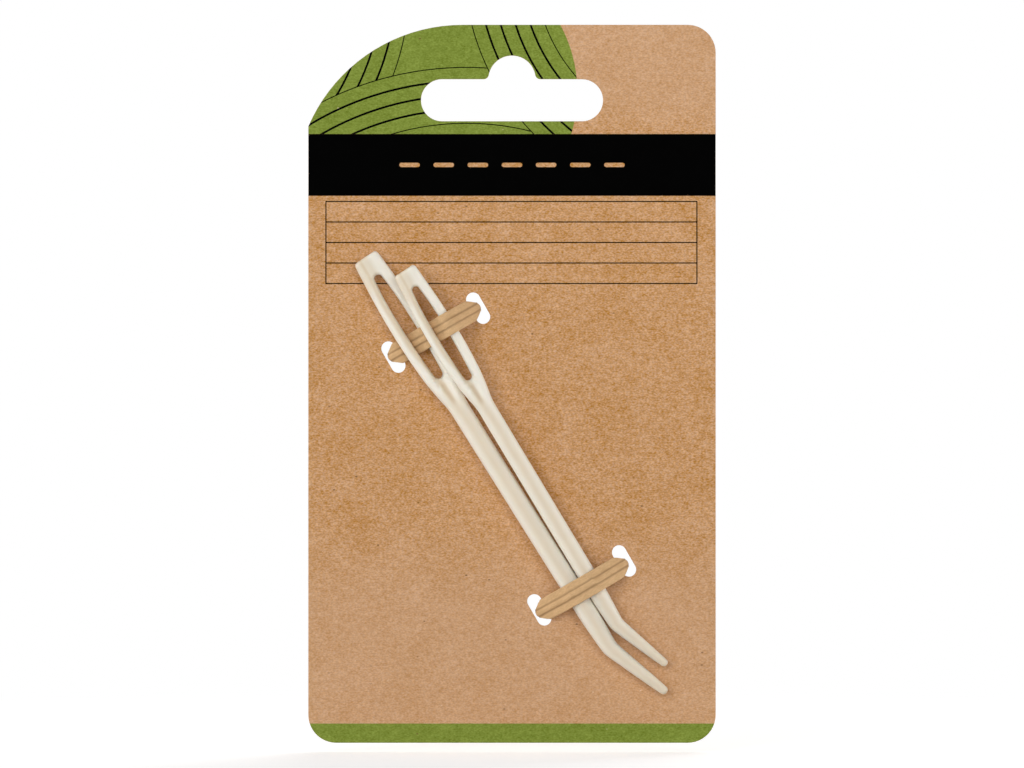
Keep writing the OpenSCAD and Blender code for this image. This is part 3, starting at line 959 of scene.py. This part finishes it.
class NeedleSize(Enum):
    """The two needles on the card: the name of each one's body, and its size against the large one."""

    LARGE = ("large", 1.0)
    SMALL = ("small", 0.895)


@dataclass(frozen=True)
class NeedleLie:
    """How a needle lies: the middle of its head end, and its directions along, across and out."""

    head: Vector
    along: Vector
    across: Vector
    out: Vector


@dataclass
class YarnNeedle:
    """One moulded needle, with coordinates that follow its bent middle line."""

    size: NeedleSize
    material: Material
    slot: str = "cream_plastic"
    eye_middle: float = 14.4 * MM
    straight: float = 81.0 * MM
    bend_angle: float = math.radians(20)
    bend_radius: float = 5.0 * MM
    shaft_from: float = 34.0 * MM
    shaft_to: float = 73.5 * MM
    shaft_cuts: int = 16
    cut_reach: float = WELD / 10
    levels: int = 2

    def lie(self) -> NeedleLie:
        """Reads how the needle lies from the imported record.

        Returns:
            Its head and its three directions.
        """
        body, scale = self.size.value
        record = frame["record"]
        mount = next(m for m in record["mounts"] if m["name"] == f"{body}_eye")
        joint = next(j for j in record["behaviour"]["joints"] if j["child"] == body)
        along = Vector(joint["axis"]).normalized()
        out = Vector(mount["axis"])
        out = (out - along * out.dot(along)).normalized()
        head = Vector(mount["pos_m"]) - along * self.eye_middle * scale
        return NeedleLie(head, along, out.cross(along), out)

    def surface_place(self, point: Vector, lie: NeedleLie) -> Vector:
        """Finds a point's place along, across and out of the bent middle line.

        Args:
            point: A point on the needle.
            lie: How the needle lies.

        Returns:
            The place, at the large needle's size.
        """
        scale = self.size.value[1]
        local = point - lie.head
        run, side, height = local.dot(lie.along), local.dot(lie.across), local.dot(lie.out)
        radius = self.bend_radius * scale
        bend_from = self.straight * scale - radius * math.tan(self.bend_angle / 2)
        past = run - bend_from
        if past > 0:
            turned = min(self.bend_angle, math.atan2(past, radius - side))
            beyond = past * math.cos(turned) - (radius - side) * math.sin(turned)
            reach = past * math.sin(turned) + (radius - side) * math.cos(turned)
            run = bend_from + radius * turned + max(0.0, beyond)
            side = radius - reach
        return Vector((run, side, height)) / scale

    def build(self) -> list[Object]:
        """Makes the needle.

        Returns:
            The needle as one piece.
        """
        body, scale = self.size.value
        node = f"needle_{body}"
        bm = merged_copy(node)
        lie = self.lie()
        for step in range(self.shaft_cuts):
            at = self.shaft_from + (self.shaft_to - self.shaft_from) * step / (self.shaft_cuts - 1)
            bmesh.ops.bisect_plane(bm, geom=bm.verts[:] + bm.edges[:] + bm.faces[:], dist=self.cut_reach,
                                   plane_co=lie.head + lie.along * at * scale, plane_no=lie.along)
        join_quads(bm)
        layer = bm.verts.layers.float_vector.new(SURFACE)
        for vert in bm.verts:
            vert[layer] = self.surface_place(vert.co, lie)
        piece = finished(bm, f"{body}_yarn_needle", self.material, self.levels)
        return [seat(piece, node, body)]


class TiePlace(Enum):
    """The two twist ties, by the names of their nodes."""

    UPPER = "upper_tie"
    LOWER = "lower_tie"


@dataclass(frozen=True)
class StripRing:
    """One ring of a swept strip: its middle, its directions across and out, and how far along it is."""

    verts: list[BMVert]
    middle: Vector
    across: Vector
    out: Vector
    length: float

    def place(self, vert: BMVert) -> Vector:
        """Finds a vertex's place along, across and out of the strip."""
        local = vert.co - self.middle
        return Vector((self.length, local.dot(self.across), local.dot(self.out)))

    def reach(self) -> float:
        """Measures half the strip's width at this ring."""
        return max(self.place(vert)[1] for vert in self.verts)


@dataclass
class TwistTie:
    """One wire-cored paper tie, from tail to tail."""

    place: TiePlace
    paper: Material
    wire: Material
    body: str = "carrier"
    paper_slot: str = "kraft_tie"
    wire_slot: str = "tie_wire"
    tie_angle: float = math.radians(30)
    fold_angle: float = math.radians(100)
    end_reach: float = 10 * WELD
    wing_cuts: int = 3
    rim_from: float = 0.9
    rim_crease: float = 0.8
    flat_width: float = 4.0 * MM
    crumple: float = 0.07 * MM
    crumple_scale: float = 0.9 / MM
    crumple_aside: float = 0.5
    waviness: float = 0.03 * MM

    def tail_direction(self) -> Vector:
        """Works out which way the twisted tails point."""
        down, slant = math.sin(self.fold_angle), self.tie_angle
        return Vector((down * math.sin(slant), math.cos(self.fold_angle), -down * math.cos(slant)))

    def first_ring(self, bm: BMesh) -> list[BMVert]:
        """Finds the ring at the end of one tail.

        Args:
            bm: The mesh of the paper or the wire.

        Returns:
            The ring's vertices.
        """
        tail = self.tail_direction()
        furthest = max(vert.co.dot(tail) for vert in bm.verts)
        ends = [vert for vert in bm.verts if furthest - vert.co.dot(tail) < self.end_reach]
        middle = sum((vert.co for vert in ends), Vector()) / len(ends)
        side = tail.cross(Vector((0, 1, 0)))
        return [vert for vert in ends if (vert.co - middle).dot(side) > 0]

    def follow(self, bm: BMesh) -> list[StripRing]:
        """Follows the strip ring by ring.

        Args:
            bm: The mesh of the paper or the wire.

        Returns:
            The rings from one end to the other, with directions that don't flip over.
        """
        rings = rings_from(self.first_ring(bm))
        middles = [sum((vert.co for vert in ring), Vector()) / len(ring) for ring in rings]
        found: list[StripRing] = []
        length = 0.0
        for i, (ring, middle) in enumerate(zip(rings, middles)):
            run = (middles[min(i + 1, len(rings) - 1)] - middles[max(i - 1, 0)]).normalized()
            across = max(ring, key=lambda vert: (vert.co - middle).length).co - middle
            across = (across - run * across.dot(run)).normalized()
            if found and across.dot(found[-1].across) < 0:
                across = -across
            length += (middle - middles[max(i - 1, 0)]).length
            found.append(StripRing(ring, middle, across, across.cross(run), length))
        return found

    def refine_wings(self, bm: BMesh) -> None:
        """Cuts the wings finer and keeps their rims crisp.

        Args:
            bm: The paper's mesh.
        """
        for ring in self.follow(bm):
            rim = ring.reach() * self.rim_from
            for vert in ring.verts:
                vert.tag = abs(ring.place(vert)[1]) > rim
        crease = bm.edges.layers.float.new("crease_edge")
        wings = []
        for edge in bm.edges:
            one, other = edge.verts
            if one.tag and other.tag:
                edge[crease] = self.rim_crease
            elif one.tag != other.tag and len(edge.link_faces) == 2:
                wings.append(edge)
        bmesh.ops.subdivide_edges(bm, edges=wings, cuts=self.wing_cuts, use_grid_fill=True)

    def strip(self) -> Object:
        """Makes the paper, a little wavy, and crumpled where it is pinched.

        Returns:
            The paper as one piece.
        """
        node = f"{self.place.value}_paper"
        bm = merged_copy(node)
        join_quads(bm)
        self.refine_wings(bm)
        layer = bm.verts.layers.float_vector.new(SURFACE)
        for ring in self.follow(bm):
            reach = ring.reach()
            depth = self.waviness + self.crumple * (1 - min(1.0, 2 * reach / self.flat_width))
            for vert in ring.verts:
                place = ring.place(vert)
                vert[layer] = place
                wave = Vector((place[0], place[1] * self.crumple_aside, 0.0)) * self.crumple_scale
                free = abs(place[1]) / max(reach, WELD)
                vert.co += ring.out * noise.noise(wave) * free * depth
        piece = finished(bm, f"{self.place.value}_strip", self.paper, 1)
        return seat(piece, node, self.body)

    def core(self) -> Object:
        """Makes the wire.

        Returns:
            The wire as one piece.
        """
        node = f"{self.place.value}_wire"
        bm = merged_copy(node)
        join_quads(bm)
        layer = bm.verts.layers.float_vector.new(SURFACE)
        for ring in self.follow(bm):
            for vert in ring.verts:
                vert[layer] = ring.place(vert)
        piece = finished(bm, f"{self.place.value}_core_wire", self.wire, 1)
        return seat(piece, node, self.body)

    def build(self) -> list[Object]:
        """Makes the paper and the wire."""
        return [self.strip(), self.core()]


@dataclass(frozen=True)
class Softbox:
    """One studio lamp, aimed at the object: its place from there, its width and height, its level."""

    name: str
    place: Triple
    size: Span
    level: float

    def power(self) -> float:
        """Works out the watts at which white, square to the lamp, renders at this level."""
        return self.level * (math.pi * Vector(self.place).length) ** 2


@dataclass
class Studio:
    """Camera, lamps, world and floor."""

    aim: Triple = (0.0, 0.0, -57.73 * MM)
    distance: float = 1.6
    view_width: float = 180.0 * MM
    sensor: float = 36.0
    sees_to: float = 20.0
    floor_gap: float = 1.5 * MM
    floor_radius: float = 1.2
    floor_sides: int = 96
    floor_grey: Colour = (0.8, 0.8, 0.8, 1.0)
    floor_fade: Span = (0.07, 0.3)
    floor_glow: float = 0.45
    ambient: float = 0.18
    lamps: tuple[Softbox, ...] = (
        Softbox("front_left", (-0.8, -1.75, 0.4), (0.9, 1.4), 0.44),
        Softbox("front_right", (0.65, -1.8, 0.1), (0.9, 1.4), 0.43),
        Softbox("side_left", (-1.9, -0.1, 0.5), (0.5, 1.4), 0.46),
        Softbox("side_right", (1.9, -0.1, 0.2), (0.5, 1.4), 0.42),
        Softbox("behind", (0.5, 1.8, 0.8), (1.3, 1.3), 0.7),
    )

    def camera(self) -> None:
        """Sets the camera square to the card, far off with a long lens."""
        data = bpy.data.cameras.new("camera")
        data.sensor_width = self.sensor
        data.lens = self.sensor * self.distance / self.view_width
        data.clip_end = self.sees_to
        camera = bpy.data.objects.new("camera", data)
        camera.location = Vector(self.aim) + Vector((0, -self.distance, 0))
        camera.rotation_euler = (math.radians(90), 0, 0)
        bpy.context.scene.collection.objects.link(camera)
        bpy.context.scene.camera = camera

    def light(self) -> None:
        """Hangs the lamps."""
        for box in self.lamps:
            data = bpy.data.lights.new(box.name, "AREA")
            data.shape = "RECTANGLE"
            data.size, data.size_y = box.size
            data.energy = box.power()
            lamp = bpy.data.objects.new(box.name, data)
            lamp.location = Vector(self.aim) + Vector(box.place)
            lamp.rotation_mode = "QUATERNION"
            lamp.rotation_quaternion = (-Vector(box.place)).to_track_quat("-Z", "Y")
            bpy.context.scene.collection.objects.link(lamp)

    def seen(self, wiring: Wiring) -> NodeSocket:
        """Tells the rays that see a surface from those that light it.

        Args:
            wiring: The wiring of the world or the floor.

        Returns:
            1 for a ray of the camera, a reflection or glass, and 0 for light.
        """
        path = wiring.node("ShaderNodeLightPath")
        either = wiring.most(path.outputs["Is Camera Ray"], path.outputs["Is Glossy Ray"])
        return wiring.most(either, path.outputs["Is Transmission Ray"])

    def world(self) -> None:
        """Surrounds the object with white, which gives only a little light."""
        world = bpy.data.worlds.new("studio")
        world.use_nodes = True
        world.node_tree.nodes.clear()
        wiring = Wiring(world.node_tree)
        strength = wiring.plus_share(self.ambient, self.seen(wiring), 1 - self.ambient)
        background = wiring.node("ShaderNodeBackground", WHITE, strength)
        wiring.node("ShaderNodeOutputWorld", background.outputs[0])
        bpy.context.scene.world = world

    def floor_paper(self) -> Material:
        """Makes the floor's material, which keeps the shadow and fades to white away from it.

        Returns:
            The material, clear from below.
        """
        material = bpy.data.materials.new("floor_paper")
        material.use_nodes = True
        material.node_tree.nodes.clear()
        wiring = Wiring(material.node_tree)
        seen = self.seen(wiring)
        paper = wiring.node("ShaderNodeBsdfDiffuse", self.floor_grey)
        glow = wiring.node("ShaderNodeEmission", WHITE, wiring.times(seen, self.floor_glow))
        near = wiring.node("ShaderNodeAddShader", paper.outputs[0], glow.outputs[0])
        place = wiring.node("ShaderNodeTexCoord").outputs["Object"]
        reach = wiring.distance(wiring.scaled(place, (1.0, 1.0, 0.0)), (0.0, 0.0, 0.0))
        away = wiring.times(wiring.ramp(reach, *self.floor_fade), seen)
        white = wiring.node("ShaderNodeEmission", WHITE, 1.0)
        below = wiring.node("ShaderNodeNewGeometry").outputs["Backfacing"]
        clear = wiring.node("ShaderNodeBsdfTransparent")
        shown = near.outputs[0]
        for factor, other in ((away, white), (below, clear)):
            shown = wiring.node("ShaderNodeMixShader", factor, shown, other.outputs[0]).outputs[0]
        wiring.node("ShaderNodeOutputMaterial", shown)
        return material

    def floor(self) -> None:
        """Lays a plain pale floor just below the card."""
        bm = bmesh.new()
        bmesh.ops.create_circle(bm, cap_ends=True, segments=self.floor_sides, radius=self.floor_radius)
        bmesh.ops.translate(bm, verts=bm.verts, vec=(0, 0, CAD_BOX[0][2] - self.floor_gap))
        floor = finished(bm, "floor", self.floor_paper(), 0)

    def build(self) -> None:
        """Sets up everything round the object."""
        bpy.context.scene.view_settings.view_transform = "Standard"
        self.camera()
        self.light()
        self.world()
        self.floor()


def main() -> None:
    """Builds the studio and every sub-assembly, and reports each piece."""
    logging.basicConfig(level=logging.INFO, format="%(message)s")
    Studio().build()
    fibre, arcs, handling = PaperFibre().build(), wound_strand_group(), HandlingMarks().build()
    board = KraftBoard().build(fibre, arcs, handling)
    plastic = CreamPlastic().build(handling)
    paper = KraftTie().build(fibre)
    wire = TieWire().build()
    assemblies = [HangCard(board)]
    assemblies += [YarnNeedle(size, plastic) for size in NeedleSize]
    assemblies += [TwistTie(place, paper, wire) for place in TiePlace]
    for assembly in assemblies:
        for piece in assembly.build():
            log.info("%s: %d faces", piece.name, len(piece.data.polygons))


if __name__ == "__main__":
    main()
